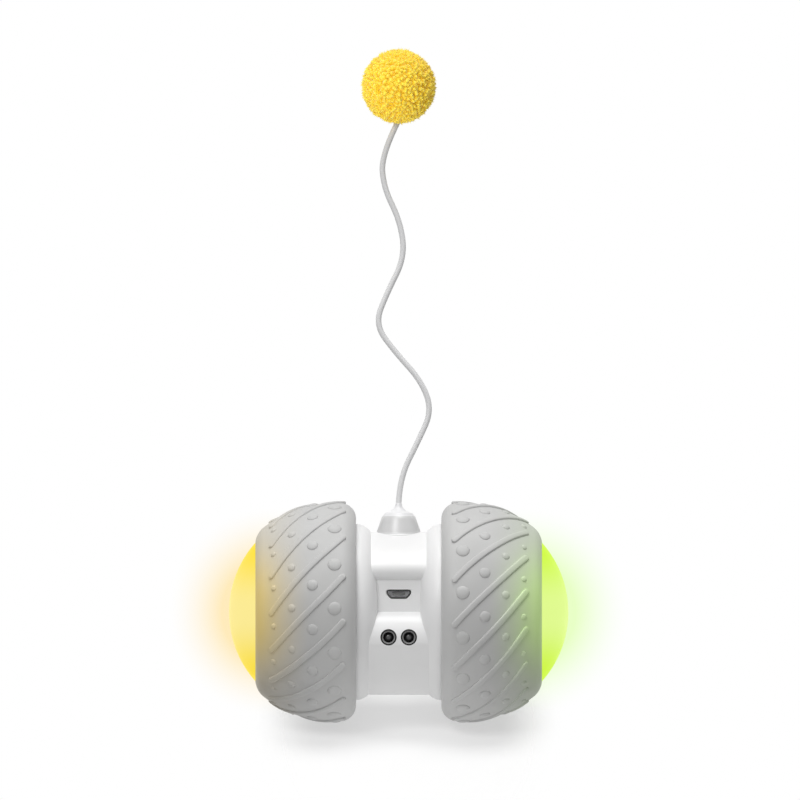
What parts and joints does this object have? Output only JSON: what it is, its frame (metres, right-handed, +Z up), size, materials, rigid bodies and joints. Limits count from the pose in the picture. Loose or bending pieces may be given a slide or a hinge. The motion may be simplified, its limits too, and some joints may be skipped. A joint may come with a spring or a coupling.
{
  "type": "robotic cat toy car",
  "caption": "Two-wheeled rolling cat toy: a round housing between ribbed soft tyres with lit domes, a charging socket and sensors in front, and a springy wand with a yarn pompom on top.",
  "frame": {"origin": "on the floor, straight under the middle of the axle line", "axes": "+X along the axle line towards the green dome, -Y the front with the charging socket, +Z up"},
  "size_m": [0.1086, 0.071, 0.2153],
  "materials": {
    "housing_white": "satin",
    "socket_grey": "satin",
    "wand_white": "satin",
    "tyre_silicone": "matte, slightly translucent",
    "dome_yellow": "frosted, lit from inside",
    "dome_green": "frosted, lit from inside",
    "hub_clear": "clear, frosted",
    "steel": "brushed",
    "bronze": "satin",
    "gear_white": "satin",
    "gear_brass": "satin",
    "motor_steel": "satin",
    "cap_black": "satin",
    "board_green": "satin",
    "chip_black": "satin",
    "port_metal": "satin",
    "lamp_white": "clear",
    "foil_cell": "foil",
    "sensor_black": "gloss",
    "pompom_yarn": "fuzzy yarn"
  },
  "bodies": {
    "housing": {"front_shell": "housing_white", "rear_shell": "housing_white", "shell_screws": "steel", "wand_socket": "socket_grey", "main_board": "board_green", "board_chips": "chip_black", "board_screws": "steel", "usb_port_shell": "port_metal", "usb_port_tongue": "chip_black", "sensor_board": "board_green", "infrared_emitter": "sensor_black", "infrared_receiver": "sensor_black", "sensor_sleeves": "sensor_black", "power_switch": "cap_black", "battery_cell": "foil_cell", "balance_weight": "steel", "axle_bush_left": "bronze", "axle_bush_right": "bronze", "gear_pin_left": "steel", "gear_pin_right": "steel", "gear_plate_left": "steel", "gear_plate_right": "steel", "lamp_ring_left": "board_green", "lamp_ring_right": "board_green", "lamps_left": "lamp_white", "lamps_right": "lamp_white", "motor_can_left": "motor_steel", "motor_can_right": "motor_steel", "motor_end_cap_left": "cap_black", "motor_end_cap_right": "cap_black", "motor_screws_left": "steel", "motor_screws_right": "steel"},
    "wheel_left": {"axle_left": "steel", "output_gear_left": "gear_white", "hub_left": "hub_clear", "tyre_left": "tyre_silicone", "dome_left": "dome_yellow", "axle_screw_left": "steel"},
    "idler_left": {"idler_gear_left": "gear_white"},
    "rotor_left": {"motor_pinion_left": "gear_brass", "motor_shaft_left": "steel"},
    "wheel_right": {"axle_right": "steel", "output_gear_right": "gear_white", "hub_right": "hub_clear", "tyre_right": "tyre_silicone", "dome_right": "dome_green", "axle_screw_right": "steel"},
    "idler_right": {"idler_gear_right": "gear_white"},
    "rotor_right": {"motor_pinion_right": "gear_brass", "motor_shaft_right": "steel"},
    "button": {"power_button": "housing_white"},
    "wand": {"wand_plug": "wand_white", "wand_cord": "wand_white", "pompom": "pompom_yarn"}
  },
  "joints": [
    {"name": "wheel_left_spin", "type": "hinge", "parent": "housing", "child": "wheel_left", "pos_m": [-0.03, 0, 0.03542], "axis": [1, 0, 0], "continuous": true},
    {"name": "idler_left_spin", "type": "hinge", "parent": "housing", "child": "idler_left", "pos_m": [-0.008, -0.00303, 0.02381], "axis": [1, 0, 0], "continuous": true},
    {"name": "rotor_left_spin", "type": "hinge", "parent": "housing", "child": "rotor_left", "pos_m": [-0.008, -0.0115, 0.02912], "axis": [1, 0, 0], "continuous": true},
    {"name": "wheel_right_spin", "type": "hinge", "parent": "housing", "child": "wheel_right", "pos_m": [0.03, 0, 0.03542], "axis": [1, 0, 0], "continuous": true},
    {"name": "idler_right_spin", "type": "hinge", "parent": "housing", "child": "idler_right", "pos_m": [0.008, 0.00303, 0.02381], "axis": [1, 0, 0], "continuous": true},
    {"name": "rotor_right_spin", "type": "hinge", "parent": "housing", "child": "rotor_right", "pos_m": [0.008, 0.0115, 0.02912], "axis": [1, 0, 0], "continuous": true},
    {"name": "button_press", "type": "slide", "parent": "housing", "child": "button", "axis": [0, -1, 0], "range_m": [0, 0.0006], "stiffness_N_per_m": 800},
    {"name": "wand_pull", "type": "slide", "parent": "housing", "child": "wand", "axis": [0, 0, 1], "range_m": [0, 0.01]}
  ],
  "couplings": [
    {"joint": "idler_left_spin", "follows": "wheel_left_spin", "ratio": -3.8},
    {"joint": "rotor_left_spin", "follows": "wheel_left_spin", "ratio": 11.4},
    {"joint": "idler_right_spin", "follows": "wheel_right_spin", "ratio": -3.8},
    {"joint": "rotor_right_spin", "follows": "wheel_right_spin", "ratio": 11.4}
  ]
}
